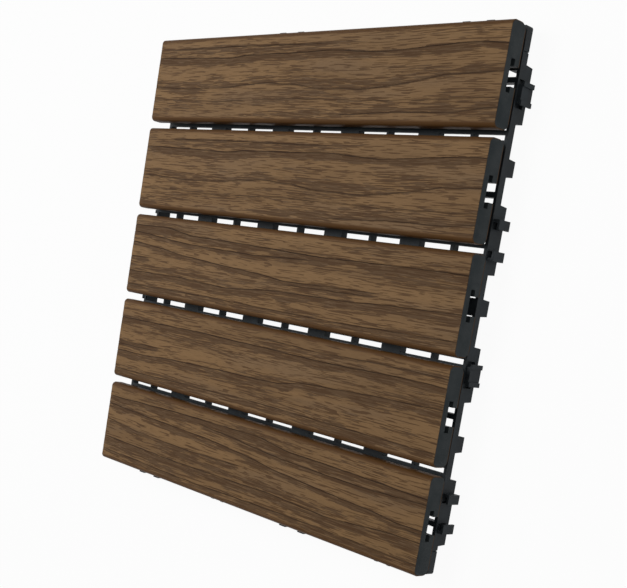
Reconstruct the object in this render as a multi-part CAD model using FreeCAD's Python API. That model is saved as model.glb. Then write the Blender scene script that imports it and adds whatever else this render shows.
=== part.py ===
import FreeCAD, Part
import math
import os

# Interlocking deck tile: five co-extruded slats on one moulded base grid.
# Millimetres. The origin is the middle of the underside, on the ground.
# X runs along the slats, Y runs across them and Z is up.

# Slats, as extruded and sawn
SLAT_COUNT = 5
SLAT_LENGTH = 300.0
SLAT_WIDTH = 55.3
SLAT_THICKNESS = 12.0
SLAT_GAP = 4.7
TOP_EDGE_RADIUS = 3.0
BOTTOM_EDGE_RADIUS = 4.5
# How far past or short of the nominal length the saw left each right-hand end
SAW_OFFSETS = (-0.4, -0.9, 1.1, 0.2, 0.7)

# T-slot along the underside of each slat
MOUTH_WIDTH = 10.5
WING_WIDTH = 17.3
WING_HEIGHT = 3.3
SLOT_DEPTH = 7.5

# Levels of the base above the ground
GROUND = 0.0
RIM_BOTTOM = 5.6
RIM_HEIGHT = 4.8
PAD_HEIGHT = 3.0

# Base plan
END_OVERHANG = 1.75
EDGE_MARGIN = 0.6
RIM_WALL = 1.9
CORNER_RADIUS = 1.5
CORNER_LENGTH = 13.4
SEAM_WIDTH = 0.7
SEAM_DEPTH = 0.5

# Lattice inside the rim
END_BAY = 24.25
BEAM_COUNT = 4
BEAM_WIDTH = 15.0
BEAM_WEB = 2.0
BEAM_SIDE = 1.8
RIB_THICKNESS = 2.0
RUNNER_THICKNESS = 3.0

# Pads that carry a slat, and the T-studs that hold it down
PAD_LENGTH = 10.0
PAD_OFFSET = 18.0
STUD_LENGTH = 8.0
STUD_SIDE_CLEARANCE = 0.3
STUD_HEIGHT_CLEARANCE = 0.2
STUD_NOSE = 1.2
VENT_CLEARANCE = 0.4

# Feet
FOOT_TOP_RADIUS = 5.2
FOOT_BOTTOM_RADIUS = 4.4
FOOT_BORE_RADIUS = 2.6
FOOT_BORE_DEPTH = 5.0
RIM_FOOT_WIDTH = 9.5
RIM_FOOT_DEPTH = 6.5
DRAFT = 0.5

# Connectors on the rim, in pairs of a tab and a socket
JOINT_GAP = 5.0
INNER_CONNECTOR = 36.5
OUTER_FROM_CORNER = 34.85
CONNECTOR_TOP = 9.2
MODULE_DEPTH = 7.0
TAB_MODULE_WIDTH = 30.6
SOCKET_MODULE_WIDTH = 37.5
TAB_WIDTH = 9.2
TAB_REACH = 2.8
EAR_SPREAD = 12.2
EAR_WIDTH = 2.5
EAR_REACH = 3.6
EAR_THICKNESS = 1.2
HOOK_SPREAD = 22.0
HOOK_MOUTH = 11.4
HOOK_REACH = 4.1
HOOK_LIP = 1.4
HOOK_ARM = 1.5
WINDOW_MARGIN = 1.3

# Screws that keep the slats from sliding along their studs
SCREW_RADIUS = 2.0
SCREW_LENGTH = 15.0
SCREW_HEAD_RADIUS = 4.0
SCREW_HEAD_HEIGHT = 2.4
SCREW_HEAD_ROUND = 1.1
SCREW_POINT = 2.5
SCREW_RECESS_WIDTH = 0.9
SCREW_RECESS_SPAN = 4.2
SCREW_RECESS_DEPTH = 1.3
PILOT_CLEARANCE = 0.05
SCREW_CLEARANCE = 0.3
PILOT_MARGIN = 0.6

# Sizes that follow from the ones above
SLAT_PITCH = SLAT_WIDTH + SLAT_GAP
RIM_TOP = RIM_BOTTOM + RIM_HEIGHT
SLAT_BOTTOM = RIM_TOP + PAD_HEIGHT
SLAT_TOP = SLAT_BOTTOM + SLAT_THICKNESS
HALF_X = SLAT_LENGTH / 2 - END_OVERHANG
HALF_Y = (SLAT_COUNT * SLAT_PITCH - SLAT_GAP) / 2 + EDGE_MARGIN
BEAM_PITCH = 2 * (HALF_X - END_BAY) / BEAM_COUNT
TILE_PITCH_X = 2 * HALF_X + JOINT_GAP
TILE_PITCH_Y = 2 * HALF_Y + JOINT_GAP

Z_AXIS = FreeCAD.Vector(0, 0, 1)


def block(x_low, x_high, y_low, y_high, z_low, z_high):
    """A box between two corners."""
    corner = FreeCAD.Vector(x_low, y_low, z_low)
    return Part.makeBox(x_high - x_low, y_high - y_low, z_high - z_low, corner)


def joined(shapes):
    """One solid from shapes that overlap or touch."""
    return shapes[0].multiFuse(shapes[1:]).removeSplitter()


def slat_centres():
    """The Y of each slat's centreline, from the far edge of the tile to the near one."""
    return [((SLAT_COUNT - 1) / 2 - i) * SLAT_PITCH for i in range(SLAT_COUNT)]


def beam_places():
    """The X of each wide cross beam."""
    return [(i - (BEAM_COUNT - 1) / 2) * BEAM_PITCH for i in range(BEAM_COUNT)]


def rib_places():
    """The X of each thin cross rib, between the beams and outside the last ones."""
    return [(i - BEAM_COUNT / 2) * BEAM_PITCH for i in range(BEAM_COUNT + 1)]


def screw_places():
    """Where a screw stands under each slat: beside the slot, on the beam next to the middle."""
    x = beam_places()[(BEAM_COUNT - 1) // 2]
    return [FreeCAD.Vector(x, y + PAD_OFFSET, 0) for y in slat_centres()]


def rounded_band(half_y, low, high, low_radius, high_radius):
    """A closed outline in the YZ plane: a rectangle with its four corners rounded."""
    points = []
    turns = (
        (half_y, low, low_radius, -90),
        (half_y, high, high_radius, 0),
        (-half_y, high, high_radius, 90),
        (-half_y, low, low_radius, 180),
    )
    for y, z, radius, start in turns:
        centre_y = y - math.copysign(radius, y)
        centre_z = z + radius if z == low else z - radius
        arc = []
        for step in (0, 45, 90):
            angle = math.radians(start + step)
            arc.append(FreeCAD.Vector(0, centre_y + radius * math.cos(angle), centre_z + radius * math.sin(angle)))
        points.append(arc)
    edges = []
    for index, arc in enumerate(points):
        edges.append(Part.Arc(*arc).toShape())
        edges.append(Part.LineSegment(arc[2], points[(index + 1) % 4][0]).toShape())
    return Part.Wire(edges)


def slat(index, centre_y):
    """One slat: a rounded bar with a T-slot along its underside, sawn square at both ends."""
    left = -SLAT_LENGTH / 2
    right = SLAT_LENGTH / 2 + SAW_OFFSETS[index % len(SAW_OFFSETS)]
    outline = rounded_band(SLAT_WIDTH / 2, SLAT_BOTTOM, SLAT_TOP, BOTTOM_EDGE_RADIUS, TOP_EDGE_RADIUS)
    body = Part.Face(outline).extrude(FreeCAD.Vector(right - left, 0, 0))
    ceiling = SLAT_BOTTOM + SLOT_DEPTH
    mouth = block(0, right - left, -MOUTH_WIDTH / 2, MOUTH_WIDTH / 2, SLAT_BOTTOM, ceiling)
    wings = block(0, right - left, -WING_WIDTH / 2, WING_WIDTH / 2, ceiling - WING_HEIGHT, ceiling)
    body = body.cut(joined([mouth, wings]))
    body.translate(FreeCAD.Vector(left, centre_y, 0))
    place = screw_places()[index]
    depth = screw_tip() + PILOT_MARGIN - SLAT_BOTTOM
    pilot = Part.makeCylinder(SCREW_RADIUS + PILOT_CLEARANCE, depth, place + Z_AXIS * SLAT_BOTTOM)
    return body.cut(pilot)


def screw_seat():
    """The height of the face that a screw's head bears on: the underside of a beam's web."""
    return RIM_TOP - BEAM_WEB


def screw_tip():
    """The height of a screw's point."""
    return screw_seat() + SCREW_LENGTH


def screw(place):
    """One pan-head screw, point up, with a cross recess in its head."""
    seat = screw_seat()
    under = seat - SCREW_HEAD_HEIGHT
    head = Part.makeCylinder(SCREW_HEAD_RADIUS, SCREW_HEAD_HEIGHT, FreeCAD.Vector(0, 0, under))
    rims = [edge for edge in head.Edges if edge.BoundBox.ZMax < under + SCREW_HEAD_HEIGHT / 2]
    head = head.makeFillet(SCREW_HEAD_ROUND, rims)
    shank = Part.makeCylinder(SCREW_RADIUS, SCREW_LENGTH - SCREW_POINT, FreeCAD.Vector(0, 0, seat))
    tip_start = FreeCAD.Vector(0, 0, seat + SCREW_LENGTH - SCREW_POINT)
    point = Part.makeCone(SCREW_RADIUS, SCREW_RADIUS / 4, SCREW_POINT, tip_start)
    half_span = SCREW_RECESS_SPAN / 2
    half_width = SCREW_RECESS_WIDTH / 2
    top = under + SCREW_RECESS_DEPTH
    along = block(-half_span, half_span, -half_width, half_width, under, top)
    across = block(-half_width, half_width, -half_span, half_span, under, top)
    solid = joined([head, shank, point]).cut(joined([along, across]))
    solid.translate(FreeCAD.Vector(place.x, place.y, 0))
    return solid


def tapered_block(depth, width, low, high):
    """A wall that stands on the ground behind the rim's face, its two ends drawn in by the draft."""
    half = width / 2
    foot = half - DRAFT
    corners = [(-half, high), (-half, RIM_BOTTOM), (-foot, low), (foot, low), (half, RIM_BOTTOM), (half, high)]
    points = [FreeCAD.Vector(-depth, y, z) for y, z in corners]
    face = Part.Face(Part.makePolygon(points + points[:1]))
    return face.extrude(FreeCAD.Vector(depth, 0, 0))


def module(width):
    """The deeper length of rim behind a connector: a box open to the inside and below."""
    outer = tapered_block(MODULE_DEPTH, width, GROUND, RIM_TOP)
    hollow = block(-MODULE_DEPTH, -RIM_WALL, -width / 2 + 2 * RIM_WALL, width / 2 - 2 * RIM_WALL, GROUND, RIM_TOP)
    return outer.cut(hollow)


def tab_parts():
    """A tab and what it cuts away, in a frame with X out of the rim and Y along it."""
    half = TAB_WIDTH / 2
    tab = block(-RIM_WALL, TAB_REACH, -half, half, GROUND, CONNECTOR_TOP)
    ears = []
    windows = []
    for side in (-1, 1):
        outer = side * EAR_SPREAD / 2
        inner = side * (EAR_SPREAD / 2 - EAR_WIDTH)
        low, high = min(outer, inner), max(outer, inner)
        ears.append(block(EAR_REACH - EAR_THICKNESS, EAR_REACH, low, high, GROUND, CONNECTOR_TOP))
        edge = side * half
        far = side * (EAR_SPREAD / 2 + WINDOW_MARGIN)
        low, high = min(edge, far), max(edge, far)
        windows.append(block(-RIM_WALL, 0, low, high, RIM_BOTTOM / 2, CONNECTOR_TOP))
    return [module(TAB_MODULE_WIDTH), tab] + ears, windows


def socket_parts():
    """Two hooks that face each other, with the windows that form them, in the same frame as a tab."""
    solids = [module(SOCKET_MODULE_WIDTH)]
    windows = []
    for side in (-1, 1):
        outer = side * HOOK_SPREAD / 2
        arm_inner = side * (HOOK_SPREAD / 2 - HOOK_ARM)
        lip_inner = side * HOOK_MOUTH / 2
        low, high = min(outer, arm_inner), max(outer, arm_inner)
        solids.append(block(-RIM_WALL, HOOK_REACH, low, high, GROUND, CONNECTOR_TOP))
        low, high = min(outer, lip_inner), max(outer, lip_inner)
        solids.append(block(HOOK_REACH - HOOK_LIP, HOOK_REACH, low, high, GROUND, CONNECTOR_TOP))
        low, high = min(arm_inner, lip_inner), max(arm_inner, lip_inner)
        windows.append(block(-RIM_WALL, 0, low, high, RIM_BOTTOM / 2, CONNECTOR_TOP))
    return solids, windows


def side_frames():
    """Each side of the base: its turn about Z, how far out its face lies, and half its length."""
    return [(0, HALF_X, HALF_Y), (90, HALF_Y, HALF_X), (180, HALF_X, HALF_Y), (270, HALF_Y, HALF_X)]


def placed(shape, turn, reach, along):
    """A copy of a shape moved from the connector frame to its place on one side."""
    copy = shape.copy()
    copy.translate(FreeCAD.Vector(reach, along, 0))
    copy.rotate(FreeCAD.Vector(0, 0, 0), Z_AXIS, turn)
    return copy


def rim_parts():
    """The connectors and rim feet of all four sides, as solids to add and cuts to make."""
    solids = []
    cuts = []
    for turn, reach, half_length in side_frames():
        outer = half_length - OUTER_FROM_CORNER
        middle_foot = (outer + INNER_CONNECTOR) / 2
        tab, tab_windows = tab_parts()
        socket, socket_windows = socket_parts()
        for along in (outer, -INNER_CONNECTOR):
            solids += [placed(shape, turn, reach, along) for shape in tab]
            cuts += [placed(shape, turn, reach, along) for shape in tab_windows]
        for along in (INNER_CONNECTOR, -outer):
            solids += [placed(shape, turn, reach, along) for shape in socket]
            cuts += [placed(shape, turn, reach, along) for shape in socket_windows]
        foot = tapered_block(RIM_FOOT_DEPTH, RIM_FOOT_WIDTH, GROUND, RIM_TOP)
        solids += [placed(foot, turn, reach, along) for along in (middle_foot, 0, -middle_foot)]
        seam = block(-SEAM_DEPTH, 0, -SEAM_WIDTH / 2, SEAM_WIDTH / 2, RIM_BOTTOM, RIM_TOP)
        seam_at = half_length - CORNER_LENGTH
        cuts += [placed(seam, turn, reach, along) for along in (seam_at, -seam_at)]
    return solids, cuts


def rim():
    """The band round the base, rounded at its four corners."""
    outer = block(-HALF_X, HALF_X, -HALF_Y, HALF_Y, RIM_BOTTOM, RIM_TOP)
    uprights = [edge for edge in outer.Edges if edge.BoundBox.ZLength > RIM_HEIGHT / 2]
    outer = outer.makeFillet(CORNER_RADIUS, uprights)
    inner_x = HALF_X - RIM_WALL
    inner_y = HALF_Y - RIM_WALL
    return outer.cut(block(-inner_x, inner_x, -inner_y, inner_y, RIM_BOTTOM, RIM_TOP))


def beam(x):
    """A wide cross beam: a channel open below, from rim to rim."""
    half = BEAM_WIDTH / 2
    end = HALF_Y - RIM_WALL
    full = block(x - half, x + half, -end, end, RIM_BOTTOM, RIM_TOP)
    inner = half - BEAM_SIDE
    hollow = block(x - inner, x + inner, -end, end, RIM_BOTTOM, screw_seat())
    return full.cut(hollow)


def lattice():
    """The beams, the thin ribs between them and a runner under the middle of each slat."""
    end_x = HALF_X - RIM_WALL
    end_y = HALF_Y - RIM_WALL
    parts = [beam(x) for x in beam_places()]
    half_rib = RIB_THICKNESS / 2
    for x in rib_places():
        parts.append(block(x - half_rib, x + half_rib, -end_y, end_y, RIM_BOTTOM, RIM_TOP))
    half_runner = RUNNER_THICKNESS / 2
    for y in slat_centres():
        parts.append(block(-end_x, end_x, y - half_runner, y + half_runner, RIM_BOTTOM, RIM_TOP))
    return parts


def t_stud(x, y):
    """A T-headed stud that fills the slot's section less its clearances, bevelled where the slat slides on."""
    stem_half = MOUTH_WIDTH / 2 - STUD_SIDE_CLEARANCE
    head_half = WING_WIDTH / 2 - STUD_SIDE_CLEARANCE
    head_top = SLAT_BOTTOM + SLOT_DEPTH - STUD_HEIGHT_CLEARANCE
    head_low = SLAT_BOTTOM + SLOT_DEPTH - WING_HEIGHT + STUD_HEIGHT_CLEARANCE
    corners = [
        (-stem_half, screw_seat()),
        (stem_half, screw_seat()),
        (stem_half, head_low),
        (head_half, head_low),
        (head_half, head_top),
        (-head_half, head_top),
        (-head_half, head_low),
        (-stem_half, head_low),
    ]
    points = [FreeCAD.Vector(x - STUD_LENGTH / 2, y + py, pz) for py, pz in corners]
    stud = Part.Face(Part.makePolygon(points + points[:1])).extrude(FreeCAD.Vector(STUD_LENGTH, 0, 0))
    ends = []
    for edge in stud.Edges:
        upright = edge.BoundBox.ZLength > 0.9 * (head_top - head_low)
        outermost = abs(abs(edge.BoundBox.Center.y - y) - head_half) < STUD_SIDE_CLEARANCE
        if upright and outermost:
            ends.append(edge)
    return stud.makeChamfer(STUD_NOSE, ends)


def t_stud_vents(x, y):
    """The openings in the beam's web below the overhanging sides of a stud's head."""
    stem_half = MOUTH_WIDTH / 2 - STUD_SIDE_CLEARANCE
    reach = WING_WIDTH / 2 + VENT_CLEARANCE
    half = STUD_LENGTH / 2
    return [
        block(x - half, x + half, y + stem_half, y + reach, screw_seat(), RIM_TOP),
        block(x - half, x + half, y - reach, y - stem_half, screw_seat(), RIM_TOP),
    ]


def foot(x, y):
    """A hollow round foot under the crossing of a beam and a runner."""
    height = screw_seat() - GROUND
    outer = Part.makeCone(FOOT_BOTTOM_RADIUS, FOOT_TOP_RADIUS, height, FreeCAD.Vector(x, y, GROUND))
    bore = Part.makeCylinder(FOOT_BORE_RADIUS, FOOT_BORE_DEPTH, FreeCAD.Vector(x, y, GROUND))
    return outer, bore


def base_grid():
    """The moulded base: rim, lattice, pads, studs, feet and connectors in one piece."""
    solids, cuts = rim_parts()
    solids = [rim()] + lattice() + solids
    for x in beam_places():
        for y in slat_centres():
            solids.append(t_stud(x, y))
            cuts += t_stud_vents(x, y)
            for side in (-1, 1):
                middle = y + side * PAD_OFFSET
                low, high = middle - PAD_LENGTH / 2, middle + PAD_LENGTH / 2
                half = BEAM_WIDTH / 2
                solids.append(block(x - half, x + half, low, high, screw_seat(), SLAT_BOTTOM))
            post, bore = foot(x, y)
            solids.append(post)
            cuts.append(bore)
    for place in screw_places():
        height = SLAT_BOTTOM - screw_seat()
        start = place + Z_AXIS * screw_seat()
        cuts.append(Part.makeCylinder(SCREW_RADIUS + SCREW_CLEARANCE, height, start))
    return joined(solids).cut(Part.makeCompound(cuts)).removeSplitter()


def main():
    """Write one STEP file for each node."""
    os.makedirs("parts", exist_ok=True)
    nodes = {"base_grid": base_grid()}
    for index, centre_y in enumerate(slat_centres()):
        nodes["slat_%d" % (index + 1)] = slat(index, centre_y)
    nodes["fixing_screws"] = Part.makeCompound([screw(place) for place in screw_places()])
    for name, shape in nodes.items():
        shape.exportStep("parts/%s.step" % name)
        print(name, len(shape.Solids), "solids", round(shape.Volume / 1000, 2), "cm3", shape.isValid())
    print("tile pitch", TILE_PITCH_X, "by", TILE_PITCH_Y)


main()
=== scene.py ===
"""The looks of an interlocking deck tile, dressed on its packed construction.

Five embossed slats stand in for the plain ones, the moulded base and its screws get
their finishes, and a pale studio with the photograph's camera is set round them.
"""

import logging
import math
from dataclasses import dataclass, field
from enum import Enum

import bmesh
import bpy
import numpy as np
from mathutils import Matrix, Vector


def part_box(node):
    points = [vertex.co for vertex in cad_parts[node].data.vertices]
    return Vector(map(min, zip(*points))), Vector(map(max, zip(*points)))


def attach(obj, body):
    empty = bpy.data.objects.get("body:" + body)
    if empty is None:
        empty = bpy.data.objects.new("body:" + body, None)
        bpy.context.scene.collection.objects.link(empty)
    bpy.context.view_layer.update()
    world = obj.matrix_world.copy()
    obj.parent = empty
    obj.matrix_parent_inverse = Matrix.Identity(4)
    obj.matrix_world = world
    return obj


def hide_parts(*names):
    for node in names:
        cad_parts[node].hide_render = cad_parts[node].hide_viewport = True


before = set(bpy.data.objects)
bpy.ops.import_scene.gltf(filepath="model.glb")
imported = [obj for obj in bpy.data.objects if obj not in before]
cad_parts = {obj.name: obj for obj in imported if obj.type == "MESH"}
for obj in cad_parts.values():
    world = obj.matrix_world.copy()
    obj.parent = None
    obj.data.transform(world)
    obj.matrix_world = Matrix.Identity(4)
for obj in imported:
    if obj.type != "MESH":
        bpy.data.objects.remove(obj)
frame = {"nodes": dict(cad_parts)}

log = logging.getLogger("deck_tile")

MM = 0.001


class Slot(Enum):
    """The material slots of the record."""

    SLAT = "slat"
    BASE = "base"
    SCREW = "screw"


class Channel(Enum):
    """What the embossing leaves on each vertex of a slat, for its finish to read."""

    FLOW = "flow"
    LINE_SQUARE = "line_square"
    LINE = "line"
    SHADE = "shade"
    GLOW = "glow"


Curve = tuple[tuple[float, float], ...]


@dataclass(frozen=True)
class GrowthLine:
    """One growth line cut in the embossing roller.

    points are (along, across) in mm, joined by a smooth curve. below and above are how
    far, in mm, the dark band reaches on each side of the line, and weight is its strength.
    """

    points: Curve
    below: float
    above: float = 0.0
    weight: float = 1.0


@dataclass(frozen=True)
class Streak:
    """A calm stretch of the roller, which leaves the slat light: points as in a growth line."""

    points: Curve
    half_height: float
    weight: float = 1.0


class SheetNoise:
    """Seeded gradient noise over the roller's sheet, stretched along the grain."""

    CELLS = 256

    def __init__(self, seed: int) -> None:
        """Draw the lattice of directions.

        Args:
            seed: what the directions are drawn from.
        """
        turns = np.random.default_rng(seed).uniform(0.0, 2.0 * math.pi, (self.CELLS, self.CELLS))
        self.cos = np.cos(turns)
        self.sin = np.sin(turns)

    def __call__(self, along: np.ndarray, across: np.ndarray) -> np.ndarray:
        """The noise at each point.

        Args:
            along: places along the grain, in cells.
            across: places across it, in cells.

        Returns:
            Values of about -1 to 1.
        """
        cell_x = np.floor(along).astype(int)
        cell_y = np.floor(across).astype(int)
        part_x = along - cell_x
        part_y = across - cell_y
        ease_x = part_x ** 3 * (part_x * (part_x * 6 - 15) + 10)
        ease_y = part_y ** 3 * (part_y * (part_y * 6 - 15) + 10)

        def corner(step_x: int, step_y: int) -> np.ndarray:
            """The pull of one corner of each point's cell."""
            row = (cell_x + step_x) % self.CELLS
            column = (cell_y + step_y) % self.CELLS
            return self.cos[row, column] * (part_x - step_x) + self.sin[row, column] * (part_y - step_y)

        low = corner(0, 0) + ease_x * (corner(1, 0) - corner(0, 0))
        high = corner(0, 1) + ease_x * (corner(1, 1) - corner(0, 1))
        return 1.5 * (low + ease_y * (high - low))


@dataclass
class EmbossingRoller:
    """The roller that prints wood grain into a slat's cap, unrolled as a sheet in mm."""

    lines: tuple[GrowthLine, ...]
    streaks: tuple[Streak, ...]
    seed: int
    smoothing: int = 13
    end_taper: float = 12.0
    wobble: float = 0.28
    wobble_cell: tuple[float, float] = (13.0, 12.0)
    bending: float = 0.4
    bending_reach: float = 5.0
    bending_rest: float = 0.15
    line_width: float = 0.3
    line_reach: float = 2.0
    line_rest: float = 0.95
    line_breaks: float = 0.5
    break_cell: tuple[float, float] = (22.0, 3.0)
    band_edge: float = 2.2
    band_fray: float = 0.5
    fray_cell: tuple[float, float] = (25.0, 3.0)
    calm_edge: float = 1.2
    patch_rest: float = 0.36
    patch_swing: float = 0.62
    patch_most: float = 0.85
    patch_cell: tuple[float, float] = (75.0, 5.0)
    glow_rest: float = 0.5
    glow_swing: float = 0.55
    glow_calm: float = 0.75
    glow_cell: tuple[float, float] = (110.0, 16.0)
    cut_depth: float = 0.22
    shade_depth: float = 0.05
    swell_depth: float = 0.10
    swell_cell: tuple[float, float] = (55.0, 4.0)
    swell_shift: float = 31.0

    def __post_init__(self) -> None:
        """Prepare the noises that the print is made of."""
        self.noises = [SheetNoise(self.seed + index) for index in range(5)]

    def track(self, points: Curve, along: np.ndarray) -> tuple[np.ndarray, np.ndarray]:
        """Follow a listed curve.

        Args:
            points: the curve's (along, across) points in mm.
            along: where to read it.

        Returns:
            The height of the curve at each place, and how present it is, from 0 past its ends to 1.
        """
        spots = np.array(points)
        ruler = np.arange(spots[0, 0] - self.smoothing, spots[-1, 0] + self.smoothing + 1.0)
        window = np.hanning(2 * self.smoothing + 1)
        raw = np.interp(ruler, spots[:, 0], spots[:, 1])
        padded = np.pad(raw, self.smoothing, mode="edge")
        smooth = np.convolve(padded, window / window.sum(), mode="valid")
        height = np.interp(along, ruler, smooth)
        inside = np.minimum(along - spots[0, 0], spots[-1, 0] - along) / self.end_taper
        return height, np.clip(inside + 0.5, 0.0, 1.0)

    def emboss(self, along: np.ndarray, across: np.ndarray) -> dict[Channel, np.ndarray]:
        """Print the sheet at the given points.

        Args:
            along: mm along the roller's sheet.
            across: mm from the middle of the slat.

        Returns:
            The channels: the grain's own height across the slat in mm, the square of the
            distance to the nearest growth line and that line's strength, and the dark
            bands and the warm glow, each from 0 to 1.
        """
        wobble, patches, fray, glow_noise, breaks = self.noises
        ripple = self.wobble * self.read(wobble, self.wobble_cell, along, across)
        square = np.full_like(along, self.line_reach ** 2)
        line = np.zeros_like(along)
        band = np.zeros_like(along)
        pull = np.zeros_like(along)
        weights = np.full_like(along, self.bending_rest)
        for growth in self.lines:
            height, presence = self.track(growth.points, along)
            mean = sum(point[1] for point in growth.points) / len(growth.points)
            offset = across - height - ripple
            near = np.exp(-np.abs(offset) / self.bending_reach) * presence
            pull += near * (height - mean)
            weights += near
            closer = (offset ** 2 < square) & (presence > 0.0)
            square = np.where(closer, offset ** 2, square)
            whole = self.line_rest + self.line_breaks * self.read(breaks, self.break_cell, along, height)
            strength = growth.weight * presence * np.clip(whole, 0.5, 1.0)
            line = np.where(closer, strength, line)
            frayed = self.read(fray, self.fray_cell, along, height)
            band = np.maximum(band, growth.weight * presence * self.band(growth, offset, frayed))
        flow = across - self.bending * pull / weights
        calm = np.zeros_like(along)
        for streak in self.streaks:
            height, presence = self.track(streak.points, along)
            edge = (streak.half_height - np.abs(across - height - ripple)) / self.calm_edge
            calm = np.maximum(calm, streak.weight * presence * np.clip(edge + 0.5, 0.0, 1.0))
        patch = self.patch_rest + self.patch_swing * self.read(patches, self.patch_cell, along, flow)
        shade = np.maximum(band, np.clip(patch, 0.0, self.patch_most) * (1.0 - calm))
        glow = self.glow_rest + self.glow_swing * self.read(glow_noise, self.glow_cell, along, across)
        glow = np.clip(np.maximum(glow, self.glow_calm * calm), 0.0, 1.0)
        return {Channel.FLOW: flow, Channel.LINE_SQUARE: square, Channel.LINE: line, Channel.SHADE: shade,
                Channel.GLOW: glow}

    @staticmethod
    def read(noise: SheetNoise, cell: tuple[float, float], along: np.ndarray,
             across: np.ndarray) -> np.ndarray:
        """A noise whose cells have the given size in mm."""
        return noise(along / cell[0], across / cell[1])

    def band(self, growth: GrowthLine, offset: np.ndarray, fray: np.ndarray) -> np.ndarray:
        """The dark band beside a growth line: full at the line, then fading over its edge.

        Args:
            growth: the line.
            offset: mm across from the line, positive above it.
            fray: noise that makes the band wider and narrower.

        Returns:
            Values from 0 to 1.
        """
        swell = 1.0 + self.band_fray * fray
        lower = np.clip((growth.below * swell + offset) / self.band_edge + 0.5, 0.0, 1.0)
        upper = np.clip((growth.above * swell - offset) / self.band_edge + 0.5, 0.0, 1.0)
        if growth.above < self.band_edge / 2:
            upper = np.clip((growth.above + self.line_width - offset) / self.line_width, 0.0, 1.0)
        if growth.below < self.band_edge / 2:
            lower = np.clip((growth.below + self.line_width + offset) / self.line_width, 0.0, 1.0)
        return np.where(offset < 0.0, lower, upper)

    def depth(self, print_: dict[Channel, np.ndarray], along: np.ndarray) -> np.ndarray:
        """How deep the print sinks in the cap.

        Args:
            print_: the channels.
            along: mm along the roller's sheet.

        Returns:
            Depths in mm.
        """
        across = print_[Channel.FLOW] + self.swell_shift * self.swell_cell[1]
        swell = 0.5 + 0.5 * self.read(self.noises[1], self.swell_cell, along, across)
        cut = print_[Channel.LINE] * np.exp(-print_[Channel.LINE_SQUARE] / self.line_width ** 2)
        sunk = self.cut_depth * cut + self.shade_depth * print_[Channel.SHADE]
        return np.clip(sunk + self.swell_depth * swell, 0.0, None)


# The two stretches of roller that the slats were cut from, in mm along and across the sheet
GRAIN_LINES = (
    GrowthLine(((-274, 17.7), (-199, 19.6), (-112, 20.4), (-90, 17.2), (-37, 16.2), (37, 14.4), (75, 15.0),
                (127, 15.5), (190, 14.9), (250, 14.2), (300, 15.6), (340, 15.0)), below=4.2, weight=0.95),
    GrowthLine(((-170, 16.6), (-131, 14.4), (-98, 11.6), (-60, 10.6), (-19, 10.2), (34, 12.0)),
               below=2.4, weight=0.9),
    GrowthLine(((-276, 12.2), (-218, 10.4), (-160, 9.2), (-143, 8.0), (-115, 6.1), (-95, 3.5), (-42, 0.4),
                (-4, -1.2), (6, -2.9), (37, -2.3), (60, -1.7), (86, -1.5)), below=3.4, weight=0.85),
    GrowthLine(((14, -4.6), (50, -4.2), (70, -3.8), (87, -3.4)), below=0.6, above=1.8, weight=0.75),
    GrowthLine(((-276, -11.4), (-200, -12.6), (-150, -12.2), (-94, -11.4), (-45, -13.2), (-19, -11.4),
                (0, -9.6), (75, -8.4), (94, -6.8), (150, -5.6), (205, -4.6), (228, -0.6), (290, 2.2),
                (340, 3.4)),
               below=5.2, weight=0.85),
    GrowthLine(((180, 20.4), (232, 19.4), (290, 20.6), (340, 19.8)), below=1.6, weight=0.7),
    GrowthLine(((-276, -20.5), (-180, -22.0), (-60, -20.8), (60, -21.6), (180, -19.4), (340, -20.6)),
               below=4.0, weight=0.75),
    GrowthLine(((-276, 1.4), (-236, -1.6), (-180, -2.6), (-128, -1.4)), below=3.6, weight=0.8),
    GrowthLine(((840, 14.9), (897, 13.9), (925, 13.0), (944, 14.4), (981, 14.7), (1024, 15.4), (1041, 13.9),
                (1066, 13.2), (1103, 15.4), (1128, 16.6), (1140, 15.8), (1156, 14.6)),
               below=4.4, weight=0.95),
    GrowthLine(((868, 19.8), (930, 20.2), (985, 19.6), (1015, 19.7)), below=0.9, above=0.9, weight=0.85),
    GrowthLine(((840, -4.4), (890, -6.4), (925, -5.6), (962, -3.0), (996, -4.4), (1010, -6.8), (1056, -7.6),
                (1085, -4.4), (1110, -0.4), (1156, 1.2)), below=0.8, above=4.6, weight=0.7),
    GrowthLine(((1030, -22.2), (1060, -21.6), (1072, -20.4), (1122, -20.6), (1134, -18.6), (1156, -17.6)),
               below=0.6, above=3.6, weight=0.8),
    GrowthLine(((840, -13.0), (920, -14.6), (990, -12.8), (1070, -14.2), (1156, -12.4)),
               below=3.0, above=2.0, weight=0.5),
)
CALM_STREAKS = (
    Streak(((-276, 5.0), (-215, 2.4), (-168, 1.4), (-128, 1.0)), 3.3),
    Streak(((-96, 5.4), (-45, 3.6), (0, 2.6), (60, 2.8), (96, 0.6), (150, 0.8), (200, 3.0), (236, 4.4)),
           3.1),
    Streak(((-60, -17.2), (30, -16.0), (110, -15.4), (170, -14.4)), 2.2, weight=0.8),
    Streak(((205, -8.8), (260, -8.2), (340, -7.4)), 2.4, weight=0.75),
    Streak(((838, 7.2), (900, 7.6), (980, 8.2), (1070, 8.0), (1160, 7.0)), 2.6, weight=0.75),
    Streak(((838, 1.4), (880, 1.2), (905, 1.6)), 3.4, weight=0.9),
    Streak(((1075, -9.5), (1110, -6.4), (1160, -4.6)), 3.2, weight=0.7),
    Streak(((905, -6.6), (960, -5.8), (1000, -5.0)), 1.7, weight=0.7),
)


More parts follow.
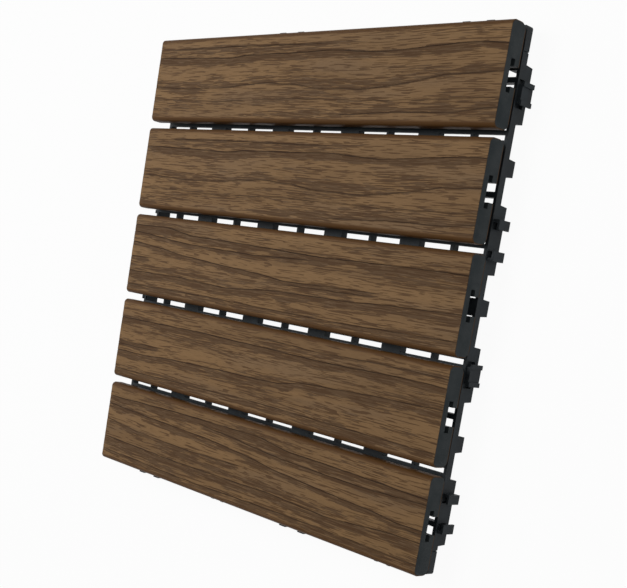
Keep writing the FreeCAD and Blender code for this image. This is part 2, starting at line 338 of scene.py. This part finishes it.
@dataclass
class Slat:
    """One embossed slat, which takes the place of its plain solid.

    Sizes are in metres, but for two: sheet_start is where on the roller's sheet the middle of the
    slat lies, and fade is over what width the print dies away at the edges, both in mm.
    """

    node: str
    roller: EmbossingRoller
    sheet_start: float
    top_radius: float = 3.0 * MM
    bottom_radius: float = 4.5 * MM
    mouth_width: float = 10.5 * MM
    wing_width: float = 17.3 * MM
    wing_height: float = 3.3 * MM
    slot_depth: float = 7.5 * MM
    step_along: float = 1.0 * MM
    step_across: float = 0.36 * MM
    corner_segments: int = 8
    fade: float = 1.0
    flat_margin: float = 0.01 * MM
    sharp_angle: float = 40.0

    def __post_init__(self) -> None:
        """Read the slat's own box from the frame."""
        self.low, self.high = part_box(self.node)
        self.middle = (self.low.y + self.high.y) / 2

    def section(self, bm: bmesh.types.BMesh) -> list:
        """Draw the sawn section at the left end.

        Args:
            bm: the mesh to draw in.

        Returns:
            The section's face, edges and vertices.
        """
        half = (self.high.y - self.low.y) / 2
        ceiling = self.low.z + self.slot_depth
        shelf = ceiling - self.wing_height
        mouth = self.mouth_width / 2
        wing = self.wing_width / 2
        right = [(mouth, self.low.z), (mouth, shelf), (wing, shelf), (wing, ceiling)]
        outline = [(-half, self.low.z)] + [(-y, z) for y, z in right] + right[::-1]
        outline += [(half, self.low.z), (half, self.high.z), (-half, self.high.z)]
        corners = [bm.verts.new((self.low.x, self.middle + y, z)) for y, z in outline]
        bm.faces.new(corners)
        feet = [corners[0], corners[-3]]
        for pair, radius in ((corners[-2:], self.top_radius), (feet, self.bottom_radius)):
            bmesh.ops.bevel(bm, geom=pair, offset=radius, offset_type="OFFSET", affect="VERTICES",
                            segments=self.corner_segments, profile=0.5, material=-1)
        top = [e for e in bm.edges if min(v.co.z for v in e.verts) > self.high.z - self.flat_margin]
        longest = max(top, key=lambda e: e.calc_length())
        cuts = round(longest.calc_length() / self.step_across) - 1
        bmesh.ops.subdivide_edges(bm, edges=[longest], cuts=cuts)
        return list(bm.faces) + list(bm.edges) + list(bm.verts)

    def extrude(self, bm: bmesh.types.BMesh, section: list) -> None:
        """Draw the section along the slat in even steps.

        Args:
            bm: the mesh.
            section: the section's geometry at the left end.
        """
        length = self.high.x - self.low.x
        bmesh.ops.spin(bm, geom=section, cent=(0, 0, 0), axis=(1, 0, 0), dvec=(length, 0, 0),
                       angle=0.0, steps=1, use_merge=False, use_duplicate=False)
        lengthwise = [e for e in bm.edges if abs(e.verts[0].co.x - e.verts[1].co.x) > length / 2]
        bmesh.ops.subdivide_edges(bm, edges=lengthwise, cuts=round(length / self.step_along) - 1)
        bmesh.ops.recalc_face_normals(bm, faces=bm.faces)

    def emboss(self, mesh: bpy.types.Mesh) -> None:
        """Sink the roller's print into the top and leave its channels as attributes.

        Args:
            mesh: the extruded slat.
        """
        spots = np.empty(len(mesh.vertices) * 3)
        mesh.vertices.foreach_get("co", spots)
        spots = spots.reshape(-1, 3)
        along = spots[:, 0] / MM + self.sheet_start
        across = (spots[:, 1] - self.middle) / MM
        print_ = self.roller.emboss(along, across)
        for channel, values in print_.items():
            store = mesh.attributes.new(channel.value, "FLOAT", "POINT")
            store.data.foreach_set("value", values.astype(np.float32))
        flat_half = ((self.high.y - self.low.y) / 2 - self.top_radius) / MM
        on_top = spots[:, 2] > self.high.z - self.flat_margin
        fade = np.clip((flat_half - np.abs(across)) / self.fade, 0.0, 1.0) * on_top
        spots[:, 2] -= self.roller.depth(print_, along) * fade * MM
        mesh.vertices.foreach_set("co", spots.ravel())

    def build(self, finish: bpy.types.Material) -> bpy.types.Object:
        """Make the slat and say what it stands for.

        Args:
            finish: the slats' material.

        Returns:
            The slat's object.
        """
        bm = bmesh.new()
        self.extrude(bm, self.section(bm))
        mesh = bpy.data.meshes.new("embossed_" + self.node)
        bm.to_mesh(mesh)
        bm.free()
        self.emboss(mesh)
        mesh.polygons.foreach_set("use_smooth", np.ones(len(mesh.polygons), dtype=bool))
        mesh.set_sharp_from_angle(angle=math.radians(self.sharp_angle))
        mesh.update()
        piece = bpy.data.objects.new(mesh.name, mesh)
        bpy.context.scene.collection.objects.link(piece)
        mesh.materials.append(finish)
        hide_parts(self.node)
        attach(piece, "root")
        log.info("%s: %d faces", piece.name, len(mesh.polygons))
        return piece


Colour = tuple[float, float, float, float]


@dataclass(frozen=True)
class Pattern:
    """Noise stretched by a different amount along each axis, in cells per unit of length."""

    scale: tuple[float, float, float]
    shift: tuple[float, float, float] = (0.0, 0.0, 0.0)
    detail: float = 2.0
    roughness: float = 0.5


class Bench:
    """A node tree of a material or a world, with short calls for the nodes that the finishes use."""

    def __init__(self, name: str, world: bpy.types.World | None = None) -> None:
        """Start a material with an empty tree, or empty a world's.

        Args:
            name: the material's name.
            world: the world to work on instead.
        """
        self.owner = world or bpy.data.materials.new(name)
        self.owner.use_nodes = True
        self.tree = self.owner.node_tree
        self.tree.nodes.clear()
        self.output = self.tree.nodes.new("ShaderNodeOutputWorld" if world else "ShaderNodeOutputMaterial")

    def wire(self, value: object, socket: bpy.types.NodeSocket) -> None:
        """Link a socket, or set a plain value on one."""
        if isinstance(value, bpy.types.NodeSocket):
            self.tree.links.new(value, socket)
        else:
            socket.default_value = value

    def node(self, kind: str, inputs: dict, **settings: object) -> bpy.types.Node:
        """Add a node.

        Args:
            kind: the node's type.
            inputs: what goes in each socket, by its name or number.
            **settings: the node's own settings.

        Returns:
            The node.
        """
        made = self.tree.nodes.new(kind)
        for key, value in settings.items():
            setattr(made, key, value)
        for key, value in inputs.items():
            self.wire(value, made.inputs[key])
        return made

    def place(self) -> bpy.types.NodeSocket:
        """The place on the piece, in Object coordinates."""
        return self.node("ShaderNodeTexCoord", {}).outputs["Object"]

    def math(self, operation: str, first: object, second: object = 0.0,
             third: object = 0.0) -> bpy.types.NodeSocket:
        """The result of an operation on up to three values."""
        inputs = {0: first, 1: second, 2: third}
        return self.node("ShaderNodeMath", inputs, operation=operation).outputs[0]

    def times(self, first: object, second: object) -> bpy.types.NodeSocket:
        """Two values multiplied."""
        return self.math("MULTIPLY", first, second)

    def plus(self, first: object, *others: object) -> bpy.types.NodeSocket:
        """Two or more values added."""
        for other in others:
            first = self.math("ADD", first, other)
        return first

    def ease(self, value: object, low: float, high: float, start: float = 0.0,
             end: float = 1.0) -> bpy.types.NodeSocket:
        """A smooth step from start to end as value goes from low to high."""
        inputs = {"Value": value, "From Min": low, "From Max": high, "To Min": start, "To Max": end}
        return self.node("ShaderNodeMapRange", inputs, interpolation_type="SMOOTHSTEP").outputs["Result"]

    def tint(self, share: object, first: object, second: object) -> bpy.types.NodeSocket:
        """A mix of two colours."""
        made = self.node("ShaderNodeMix", {}, data_type="RGBA")
        for index, value in ((0, share), (6, first), (7, second)):
            self.wire(value, made.inputs[index])
        return made.outputs[2]

    def noise(self, place: object, pattern: Pattern) -> bpy.types.NodeSocket:
        """A pattern's noise, of about 0 to 1, at a place."""
        stretched = self.node("ShaderNodeMapping", {"Vector": place, "Scale": pattern.scale,
                                                    "Location": pattern.shift}).outputs[0]
        inputs = {"Vector": stretched, "Scale": 1.0, "Detail": pattern.detail, "Roughness": pattern.roughness}
        return self.node("ShaderNodeTexNoise", inputs).outputs["Fac"]

    def bump(self, height: object, strength: float, distance: float) -> bpy.types.NodeSocket:
        """The normal that a height gives, with its distance in metres."""
        inputs = {"Height": height, "Strength": strength, "Distance": distance}
        return self.node("ShaderNodeBump", inputs).outputs[0]

    def surface(self, colour: object, roughness: object, normal: object,
                **others: float) -> bpy.types.Material:
        """Finish the material with a principled shader.

        Args:
            colour: its base colour.
            roughness: its roughness.
            normal: its normal.
            **others: values of its other sockets, with _ for each space in their names.

        Returns:
            The material.
        """
        inputs = {"Base Color": colour, "Roughness": roughness, "Normal": normal}
        inputs.update({name.replace("_", " "): value for name, value in others.items()})
        return self.finish(self.node("ShaderNodeBsdfPrincipled", inputs))

    def finish(self, shader: bpy.types.Node) -> bpy.types.Material | bpy.types.World:
        """Join the shader to the output."""
        self.tree.links.new(shader.outputs[0], self.output.inputs["Surface"])
        return self.owner


class Mark(Enum):
    """The small marks of the print, which the slats' finish draws between the growth lines."""

    BAND = "ragged dark band"
    DASH = "dark dash"
    PALE = "pale dash in a band"
    FINE = "finest fibre"


@dataclass(frozen=True)
class SlatFinish:
    """Co-extruded wood-plastic: a brown embossed cap round a charcoal core. Lengths are in mm.

    The patterns of the print have their cells along the grain, across it, and from slat to slat.
    Those of the sawn ends are in cells per metre. The depths of the marks are shares of the
    bump's distance.
    """

    tan: Colour = (0.256, 0.150, 0.068, 1.0)
    sand: Colour = (0.206, 0.120, 0.055, 1.0)
    taupe: Colour = (0.104, 0.061, 0.032, 1.0)
    # pale greyish brown: the print's pale dashes in the bands, and in the clouds a painted sheen
    pale_dash_and_sheen: Colour = (0.185, 0.121, 0.072, 1.0)
    dash: Colour = (0.078, 0.039, 0.017, 1.0)
    line: Colour = (0.018, 0.008, 0.003, 1.0)
    # the plain orange-brown of the cap's rounded edges, sides and underside, darkened further as painted
    # shade for the sides in the gaps
    side_brown_and_shade: Colour = (0.088, 0.040, 0.012, 1.0)
    core: Colour = (0.032, 0.040, 0.043, 1.0)
    fleck: Colour = (0.095, 0.102, 0.104, 1.0)
    slat_step: float = 40.0
    tatter: Pattern = Pattern((0.065, 1.45, 1.0), detail=1.0, roughness=0.6)
    tatter_swing: float = 2.1
    band_level: float = 0.57
    band_softness: float = 0.035
    band_share: float = 0.88
    long_dashes: Pattern = Pattern((0.050, 1.30, 1.0), (11.0, 3.0, 5.0), detail=0.0)
    short_dashes: Pattern = Pattern((0.095, 1.45, 1.0), (17.0, 5.0, 3.0), detail=0.0)
    short_dash_share: float = 0.9
    dash_level: float = 0.682
    dash_level_drop: float = 0.09
    dash_softness: float = 0.008
    dash_share: float = 0.80
    pale_dashes: Pattern = Pattern((0.11, 2.1, 1.0), (29.0, 13.0, 7.0), detail=1.0)
    pale_level: float = 0.63
    pale_softness: float = 0.03
    pale_share: float = 0.65
    fine_fibre: Pattern = Pattern((0.16, 5.5, 1.0), (3.0, 9.0, 1.0), roughness=0.6)
    fine_range: tuple[float, float] = (0.40, 0.70)
    fine_share: float = 0.30
    glow_range: tuple[float, float] = (0.15, 0.85)
    # where the tan turns towards the pale greyish brown: random clouds of painted sheen
    clouds: Pattern = Pattern((0.010, 0.07, 1.0), (4.0, 2.0, 0.0))
    cloud_range: tuple[float, float] = (0.50, 0.72)
    sheen_cloud_share: float = 0.4
    line_full: float = 0.26
    line_gone: float = 0.46
    line_share: float = 0.92
    edge_before: float = 0.7
    edge_after: float = 1.4
    dash_depth: float = 0.7
    line_depth: float = 0.3
    band_depth: float = 0.25
    relief: Pattern = Pattern((0.5, 9.0, 1.0), (8.0, 1.0, 2.0), roughness=0.6)
    relief_height: float = 0.35
    bump_strength: float = 0.55
    bump_distance: float = 0.25
    cap_corner: float = 3.6
    cap_torn: Pattern = Pattern((400.0, 400.0, 400.0))
    cap_tear: float = 0.25
    cap_end: float = 0.52
    core_start: float = 0.58
    flour: Pattern = Pattern((900.0, 900.0, 900.0), detail=3.0, roughness=0.65)
    flour_range: tuple[float, float] = (0.62, 0.74)
    flour_share: float = 0.65
    core_clouds: Pattern = Pattern((90.0, 90.0, 90.0))
    core_cloud_range: tuple[float, float] = (0.3, 0.7)
    core_cloud_share: float = 0.30
    saw_marks: Pattern = Pattern((1.0, 900.0, 60.0))
    roughness: float = 0.52
    shade_roughness: float = 0.10
    edge_gloss: float = 0.10
    fine_roughness: float = 0.08
    specular: float = 0.09

    def build(self, low: Vector, high: Vector, pitch: float, top_radius: float) -> bpy.types.Material:
        """Make the finish that all the slats share.

        Args:
            low: the lowest corner of the middle slat, in metres.
            high: its highest corner.
            pitch: how far apart the slats lie.
            top_radius: the radius of the slat's upper edges.

        Returns:
            The material.
        """
        b = Bench("embossed_composite")
        place = b.place()
        x, y, z = b.node("ShaderNodeSeparateXYZ", {0: place}).outputs
        channel = {c: b.node("ShaderNodeAttribute", {}, attribute_name=c.value).outputs["Fac"]
                   for c in Channel}
        across = b.math("ABSOLUTE", b.math("WRAP", y, pitch / 2, -pitch / 2))
        flat_half = (high.y - low.y) / 2 - top_radius
        edge = b.ease(across, flat_half - self.edge_before * MM, flat_half + self.edge_after * MM)
        edge = b.math("MAXIMUM", edge, b.ease(z, high.z - 2 * top_radius, high.z - top_radius, 1.0, 0.0))
        inside = self.depth_in_cap(b, across, z, low, high)
        torn = b.plus(inside, b.times(b.noise(place, self.cap_torn), self.cap_tear * MM))
        core_share = b.ease(torn, self.cap_end * MM, self.core_start * MM)
        parts = {0: b.times(x, 1.0 / MM), 1: channel[Channel.FLOW], 2: b.times(y, self.slat_step)}
        grain = b.node("ShaderNodeCombineXYZ", parts).outputs[0]
        marks = self.marks(b, grain, channel[Channel.SHADE])
        away = b.math("SQRT", channel[Channel.LINE_SQUARE])
        line = b.times(b.ease(away, self.line_full, self.line_gone, 1.0, 0.0), channel[Channel.LINE])
        core, core_height = self.core_looks(b, place)
        colour = b.tint(core_share, self.cap_colour(b, grain, channel, marks, line, edge), core)
        cap_height = self.cap_height(b, grain, marks, line, edge)
        height = b.node("ShaderNodeMix", {0: core_share, 2: cap_height, 3: core_height}).outputs[0]
        rough = b.plus(self.roughness, b.times(channel[Channel.SHADE], self.shade_roughness),
                       b.times(edge, -self.edge_gloss), b.times(marks[Mark.FINE], self.fine_roughness))
        normal = b.bump(height, self.bump_strength, self.bump_distance * MM)
        return b.surface(colour, rough, normal, Specular_IOR_Level=self.specular)

    def depth_in_cap(self, b: Bench, across: object, height: object, low: Vector,
                     high: Vector) -> bpy.types.NodeSocket:
        """How deep a place lies inside the slat's rounded section, in metres."""
        radius = self.cap_corner * MM
        up = b.math("ABSOLUTE", b.math("SUBTRACT", height, (high.z + low.z) / 2))
        side = b.math("SUBTRACT", across, (high.y - low.y) / 2 - radius)
        rise = b.math("SUBTRACT", up, (high.z - low.z) / 2 - radius)
        out_side = b.math("MAXIMUM", side, 0.0)
        out_rise = b.math("MAXIMUM", rise, 0.0)
        reach = b.math("SQRT", b.plus(b.times(out_side, out_side), b.times(out_rise, out_rise)))
        inner = b.math("MINIMUM", b.math("MAXIMUM", side, rise), 0.0)
        return b.math("SUBTRACT", radius, b.plus(reach, inner))

    def threshold(self, b: Bench, value: object, level: object, softness: float,
                  top: float = 1.0) -> bpy.types.NodeSocket:
        """A sharp step from 0 to top where a value passes a level."""
        over = b.math("SUBTRACT", value, level)
        return b.ease(over, -softness, softness, 0.0, top)

    def marks(self, b: Bench, grain: object, shade: object) -> dict[Mark, bpy.types.NodeSocket]:
        """The small marks of the print, each from 0 to 1."""
        tatter = b.math("SUBTRACT", b.noise(grain, self.tatter), 0.5)
        frayed = b.plus(shade, b.times(tatter, self.tatter_swing))
        gate = b.math("SUBTRACT", self.dash_level, b.times(shade, self.dash_level_drop))
        long_dash = self.threshold(b, b.noise(grain, self.long_dashes), gate, self.dash_softness)
        short_dash = self.threshold(b, b.noise(grain, self.short_dashes), gate, self.dash_softness,
                                    self.short_dash_share)
        pale = b.noise(grain, self.pale_dashes)
        return {
            Mark.BAND: self.threshold(b, frayed, self.band_level, self.band_softness),
            Mark.DASH: b.math("MAXIMUM", long_dash, short_dash),
            Mark.PALE: self.threshold(b, pale, self.pale_level, self.pale_softness),
            Mark.FINE: b.noise(grain, self.fine_fibre),
        }

    def cap_colour(self, b: Bench, grain: object, channel: dict, marks: dict, line: object,
                   edge: object) -> bpy.types.NodeSocket:
        """The brown of the cap, from its calm tan to the dark of its growth lines, with clouds of painted
        sheen and a side brown darkened with painted shade.
        """
        ground = b.tint(b.ease(channel[Channel.GLOW], *self.glow_range), self.sand, self.tan)
        # painted sheen: random clouds lighten and grey the tan
        cloud = b.ease(b.noise(grain, self.clouds), *self.cloud_range, 0.0, self.sheen_cloud_share)
        ground = b.tint(cloud, ground, self.pale_dash_and_sheen)
        band = b.tint(b.times(marks[Mark.PALE], self.pale_share), self.taupe, self.pale_dash_and_sheen)
        ground = b.tint(b.times(marks[Mark.BAND], self.band_share), ground, band)
        fine = b.ease(marks[Mark.FINE], *self.fine_range, 0.0, self.fine_share)
        ground = b.tint(fine, ground, self.dash)
        ground = b.tint(b.times(marks[Mark.DASH], self.dash_share), ground, self.dash)
        ground = b.tint(b.times(line, self.line_share), ground, self.line)
        # the rounded edges and all below the top take the side brown, with its painted shade
        return b.tint(edge, ground, self.side_brown_and_shade)

    def cap_height(self, b: Bench, grain: object, marks: dict, line: object,
                   edge: object) -> bpy.types.NodeSocket:
        """The finest relief of the cap, over what the mesh itself has."""
        relief = b.plus(b.times(marks[Mark.DASH], -self.dash_depth), b.times(line, -self.line_depth),
                        b.times(marks[Mark.BAND], -self.band_depth),
                        b.times(b.noise(grain, self.relief), self.relief_height))
        return b.times(relief, b.math("SUBTRACT", 1.0, edge))

    def core_looks(self, b: Bench, place: object) -> tuple[bpy.types.NodeSocket, bpy.types.NodeSocket]:
        """The sawn charcoal core: the colour with its pale flecks, and the height with the saw's marks."""
        flour = b.noise(place, self.flour)
        cloud = b.ease(b.noise(place, self.core_clouds), *self.core_cloud_range, 0.0, self.core_cloud_share)
        colour = b.tint(cloud, self.core, self.fleck)
        colour = b.tint(b.ease(flour, *self.flour_range, 0.0, self.flour_share), colour, self.fleck)
        return colour, b.times(b.plus(b.noise(place, self.saw_marks), flour), 0.5)


@dataclass(frozen=True)
class BaseFinish:
    """Moulded black polypropylene with a fine matt grain. Patterns are in cells per metre."""

    ground: Colour = (0.018, 0.022, 0.025, 1.0)
    worn: Colour = (0.036, 0.044, 0.050, 1.0)
    clouds: Pattern = Pattern((60.0, 60.0, 90.0), detail=4.0, roughness=0.6)
    cloud_range: tuple[float, float] = (0.35, 0.75)
    pores: Pattern = Pattern((2200.0, 2200.0, 2200.0), roughness=0.6)
    pore_height: float = 0.6
    scuffs: Pattern = Pattern((300.0, 60.0, 600.0), (3.0, 1.0, 2.0), detail=3.0, roughness=0.7)
    scuff_range: tuple[float, float] = (0.62, 0.78)
    scuff_share: float = 0.5
    scuff_height: float = 0.4
    bump_strength: float = 0.25
    bump_distance: float = 0.1 * MM
    roughness: float = 0.4
    cloud_roughness: float = 0.25
    specular: float = 0.16

    def build(self) -> bpy.types.Material:
        """Make the finish of the base.

        Returns:
            The material.
        """
        b = Bench("moulded_plastic")
        place = b.place()
        cloud = b.noise(place, self.clouds)
        scuff = b.noise(place, self.scuffs)
        colour = b.tint(b.ease(cloud, *self.cloud_range), self.ground, self.worn)
        colour = b.tint(b.ease(scuff, *self.scuff_range, 0.0, self.scuff_share), colour, self.worn)
        pores = b.times(b.noise(place, self.pores), self.pore_height)
        height = b.plus(pores, b.times(scuff, self.scuff_height))
        rough = b.plus(self.roughness, b.times(cloud, self.cloud_roughness))
        normal = b.bump(height, self.bump_strength, self.bump_distance)
        return b.surface(colour, rough, normal, Specular_IOR_Level=self.specular)


@dataclass(frozen=True)
class ScrewFinish:
    """Plain stainless steel, rolled and turned. Patterns are in cells per metre."""

    steel: Colour = (0.56, 0.56, 0.55, 1.0)
    shade: Colour = (0.36, 0.35, 0.34, 1.0)
    clouds: Pattern = Pattern((500.0, 500.0, 500.0), detail=3.0)
    cloud_range: tuple[float, float] = (0.35, 0.7)
    turning: Pattern = Pattern((250.0, 250.0, 4000.0))
    bump_strength: float = 0.2
    bump_distance: float = 0.05 * MM
    roughness: float = 0.2
    turned_roughness: float = 0.3

    def build(self) -> bpy.types.Material:
        """Make the finish of the screws.

        Returns:
            The material.
        """
        b = Bench("stainless_steel")
        place = b.place()
        turned = b.noise(place, self.turning)
        colour = b.tint(b.ease(b.noise(place, self.clouds), *self.cloud_range), self.steel, self.shade)
        rough = b.plus(self.roughness, b.times(turned, self.turned_roughness))
        normal = b.bump(turned, self.bump_strength, self.bump_distance)
        return b.surface(colour, rough, normal, Metallic=1.0)


@dataclass(frozen=True)
class PhotoCamera:
    """The camera solved from the photograph: metres, and an image 627 by 588 pixels."""

    eye: tuple[float, float, float] = (0.532667, -0.007329, 0.504832)
    forward: tuple[float, float, float] = (-0.699183, -0.115603, -0.705535)
    up: tuple[float, float, float] = (-0.198751, 0.979370, 0.036490)
    focal_px: float = 1153.57
    centre_row: float = 430.0
    width_px: int = 627
    height_px: int = 588
    sensor_mm: float = 36.0

    def build(self) -> None:
        """Set the camera up and make it the scene's."""
        lens = bpy.data.cameras.new("photo_camera")
        lens.sensor_fit = "HORIZONTAL"
        lens.sensor_width = self.sensor_mm
        lens.lens = self.focal_px * self.sensor_mm / self.width_px
        lens.shift_y = (self.centre_row - self.height_px / 2) / self.width_px
        lens.clip_start = 0.01
        camera = bpy.data.objects.new("photo_camera", lens)
        bpy.context.scene.collection.objects.link(camera)
        back = -Vector(self.forward).normalized()
        right = Vector(self.up).cross(back).normalized()
        turn = Matrix((right, back.cross(right), back)).transposed().to_4x4()
        camera.matrix_world = Matrix.Translation(self.eye) @ turn
        bpy.context.scene.camera = camera


@dataclass(frozen=True)
class Lamp:
    """A soft box: where it stands, its size in metres, its power and its tint."""

    name: str
    place: tuple[float, float, float]
    size: float
    power: float
    colour: tuple[float, float, float] = (1.0, 1.0, 1.0)

    def build(self) -> None:
        """Hang the lamp, turned to the middle of the tile."""
        light = bpy.data.lights.new(self.name, "AREA")
        light.shape = "SQUARE"
        light.size = self.size
        light.energy = self.power
        light.color = self.colour
        lamp = bpy.data.objects.new(self.name, light)
        bpy.context.scene.collection.objects.link(lamp)
        lamp.location = self.place
        lamp.rotation_euler = (-Vector(self.place)).to_track_quat("-Z", "Y").to_euler()


@dataclass(frozen=True)
class Studio:
    """A pale floor that keeps the tile's shadow, a white world and soft lamps. Sizes are in metres."""

    lamps: tuple[Lamp, ...] = (
        Lamp("key", (-0.25, 0.22, 1.05), 0.6, 6.7),
        Lamp("fill", (1.3, 0.25, 0.9), 1.2, 3.0),
        Lamp("sheen", (-1.15, 0.30, 0.85), 0.4, 2.6),
    )
    world_light: float = 0.11
    floor_size: float = 6.0
    floor_drop: float = 0.2 * MM
    shadow_share: float = 0.05
    paper: Colour = (0.8, 0.8, 0.8, 1.0)
    white: Colour = (1.0, 1.0, 1.0, 1.0)

    def build(self) -> None:
        """Make the floor, the world and the lamps."""
        bm = bmesh.new()
        bmesh.ops.create_grid(bm, x_segments=1, y_segments=1, size=self.floor_size / 2)
        bmesh.ops.translate(bm, verts=bm.verts, vec=(0.0, 0.0, -self.floor_drop))
        mesh = bpy.data.meshes.new("floor")
        bm.to_mesh(mesh)
        bm.free()
        floor = bpy.data.objects.new("floor", mesh)
        bpy.context.scene.collection.objects.link(floor)
        mesh.materials.append(self.floor_finish())
        self.world()
        for lamp in self.lamps:
            lamp.build()

    def floor_finish(self) -> bpy.types.Material:
        """White paper: plain to the light, and near white to the eye, less the tile's shadow."""
        b = Bench("studio_floor")
        paper = b.node("ShaderNodeBsdfDiffuse", {"Color": self.paper})
        glow = b.node("ShaderNodeEmission", {"Color": self.white, "Strength": 1.0})
        share = b.times(self.shown(b), 1.0 - self.shadow_share)
        mix = b.node("ShaderNodeMixShader", {0: share, 1: paper.outputs[0], 2: glow.outputs[0]})
        return b.finish(mix)

    def shown(self, b: Bench) -> bpy.types.NodeSocket:
        """1 for the rays that show the background: seen, mirrored or looked at through something."""
        path = b.node("ShaderNodeLightPath", {})
        mirrored = b.math("MAXIMUM", path.outputs["Is Glossy Ray"], path.outputs["Is Transmission Ray"])
        return b.math("MAXIMUM", path.outputs["Is Camera Ray"], mirrored)

    def world(self) -> None:
        """A pale world: white where it is seen or mirrored, and plain soft light elsewhere."""
        world = bpy.data.worlds.new("studio")
        bpy.context.scene.world = world
        b = Bench("studio", world)
        strength = b.ease(self.shown(b), 0.0, 1.0, self.world_light, 1.0)
        b.finish(b.node("ShaderNodeBackground", {"Color": self.white, "Strength": strength}))


Corner = tuple[float, float, float]


@dataclass
class GridTrim:
    """The base's rails beside the gaps and the walls behind its rim's windows. Sizes are in metres."""

    rim_face: float = 148.25 * MM
    rim_wall: float = 1.9 * MM
    rim_top: float = 10.4 * MM
    rail_reach: float = 0.9 * MM
    rail_width: float = 2.4 * MM
    rail_height: float = 2.0 * MM
    back_thickness: float = 0.8 * MM
    back_low: float = 1.6 * MM
    back_high: float = 9.6 * MM
    tab_back: float = 17.0 * MM
    socket_back: float = 28.0 * MM
    inner_connector: float = 36.5 * MM
    outer_connector: float = 113.4 * MM
    sunk: float = 0.02 * MM

    def bar(self, bm: bmesh.types.BMesh, low: Corner, high: Corner, turn: float = 0.0) -> None:
        """Add a bar between two corners.

        Args:
            bm: the mesh to add it to.
            low: its lowest corner.
            high: its highest corner.
            turn: how far the bar is then turned about the tile's middle, in radians.
        """
        size = Vector(high) - Vector(low)
        place = Matrix.Translation((Vector(low) + Vector(high)) / 2) @ Matrix.Diagonal(size).to_4x4()
        bmesh.ops.create_cube(bm, size=1.0, matrix=Matrix.Rotation(turn, 4, "Z") @ place)

    def rails(self, bm: bmesh.types.BMesh, edges: list[tuple[float, int]]) -> None:
        """Add a rail under the edge of each slat that faces a gap.

        Args:
            bm: the mesh to add them to.
            edges: the Y of each edge, and which way the gap lies from it.
        """
        end = self.rim_face - self.rim_wall
        top = self.rim_top - self.sunk
        for y, side in edges:
            out = y + side * self.rail_reach
            back = out - side * self.rail_width
            self.bar(bm, (-end, min(out, back), top - self.rail_height), (end, max(out, back), top))

    def backs(self, bm: bmesh.types.BMesh) -> None:
        """Add the wall that closes the windows of each tab and socket, on all four sides."""
        front = self.rim_face - self.rim_wall + self.sunk
        back = front - self.back_thickness
        connectors = ((self.outer_connector, self.tab_back), (-self.inner_connector, self.tab_back),
                      (self.inner_connector, self.socket_back), (-self.outer_connector, self.socket_back))
        for quarter in range(4):
            for middle, width in connectors:
                self.bar(bm, (back, middle - width / 2, self.back_low),
                         (front, middle + width / 2, self.back_high), quarter * math.pi / 2)

    def build(self, edges: list[tuple[float, int]], finish: bpy.types.Material) -> None:
        """Make both kinds and say what they ride on.

        Args:
            edges: the slats' edges, as for the rails.
            finish: the base's material.
        """
        for name, add in (("gap_rails", lambda bm: self.rails(bm, edges)), ("window_backs", self.backs)):
            bm = bmesh.new()
            add(bm)
            mesh = bpy.data.meshes.new(name)
            bm.to_mesh(mesh)
            bm.free()
            piece = bpy.data.objects.new(name, mesh)
            bpy.context.scene.collection.objects.link(piece)
            mesh.materials.append(finish)
            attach(piece, "root")
            log.info("%s: %d faces", name, len(mesh.polygons))


@dataclass
class DeckTile:
    """The whole tile: five slats, the moulded base and the screws."""

    sheet_starts: tuple[float, ...] = (1000.0, 989.0, 0.0, 186.0, -124.0)
    seed: int = 11
    nodes: dict[str, bpy.types.Object] = field(default_factory=dict)

    def slats(self) -> None:
        """Emboss the slats, in order from the far edge to the near one."""
        roller = EmbossingRoller(GRAIN_LINES, CALM_STREAKS, self.seed)
        low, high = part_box("slat_3")
        pitch = low.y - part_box("slat_4")[0].y
        finish = SlatFinish().build(low, high, pitch, Slat.top_radius)
        for index, start in enumerate(self.sheet_starts):
            Slat("slat_%d" % (index + 1), roller, start).build(finish)

    def dress(self, node: str, finish: bpy.types.Material) -> None:
        """Give a piece that keeps its solid a finish.

        Args:
            node: the piece's name.
            finish: its material.
        """
        piece = self.nodes[node]
        piece.data.materials.clear()
        piece.data.materials.append(finish)
        log.info("%s: dressed in %s", node, finish.name)

    def build(self) -> None:
        """Make and dress every piece."""
        self.slats()
        plastic = BaseFinish().build()
        self.dress("base_grid", plastic)
        self.dress("fixing_screws", ScrewFinish().build())
        boxes = [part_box("slat_%d" % (index + 1)) for index in range(len(self.sheet_starts))]
        edges = [(low.y, -1) for low, high in boxes[:-1]] + [(high.y, 1) for low, high in boxes[1:]]
        GridTrim().build(edges, plastic)


def corners(box: tuple[Vector, Vector]) -> list[list[float]]:
    """A box's two corners as plain lists."""
    return [[float(number) for number in corner] for corner in box]


def main() -> None:
    """Build the tile and its studio, and set the photograph's camera and a plain view transform."""
    logging.basicConfig(level=logging.INFO, format="%(message)s")
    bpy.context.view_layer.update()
    DeckTile(nodes=frame["nodes"]).build()
    Studio().build()
    PhotoCamera().build()
    bpy.context.scene.view_settings.view_transform = "Standard"


if __name__ == "__main__":
    main()
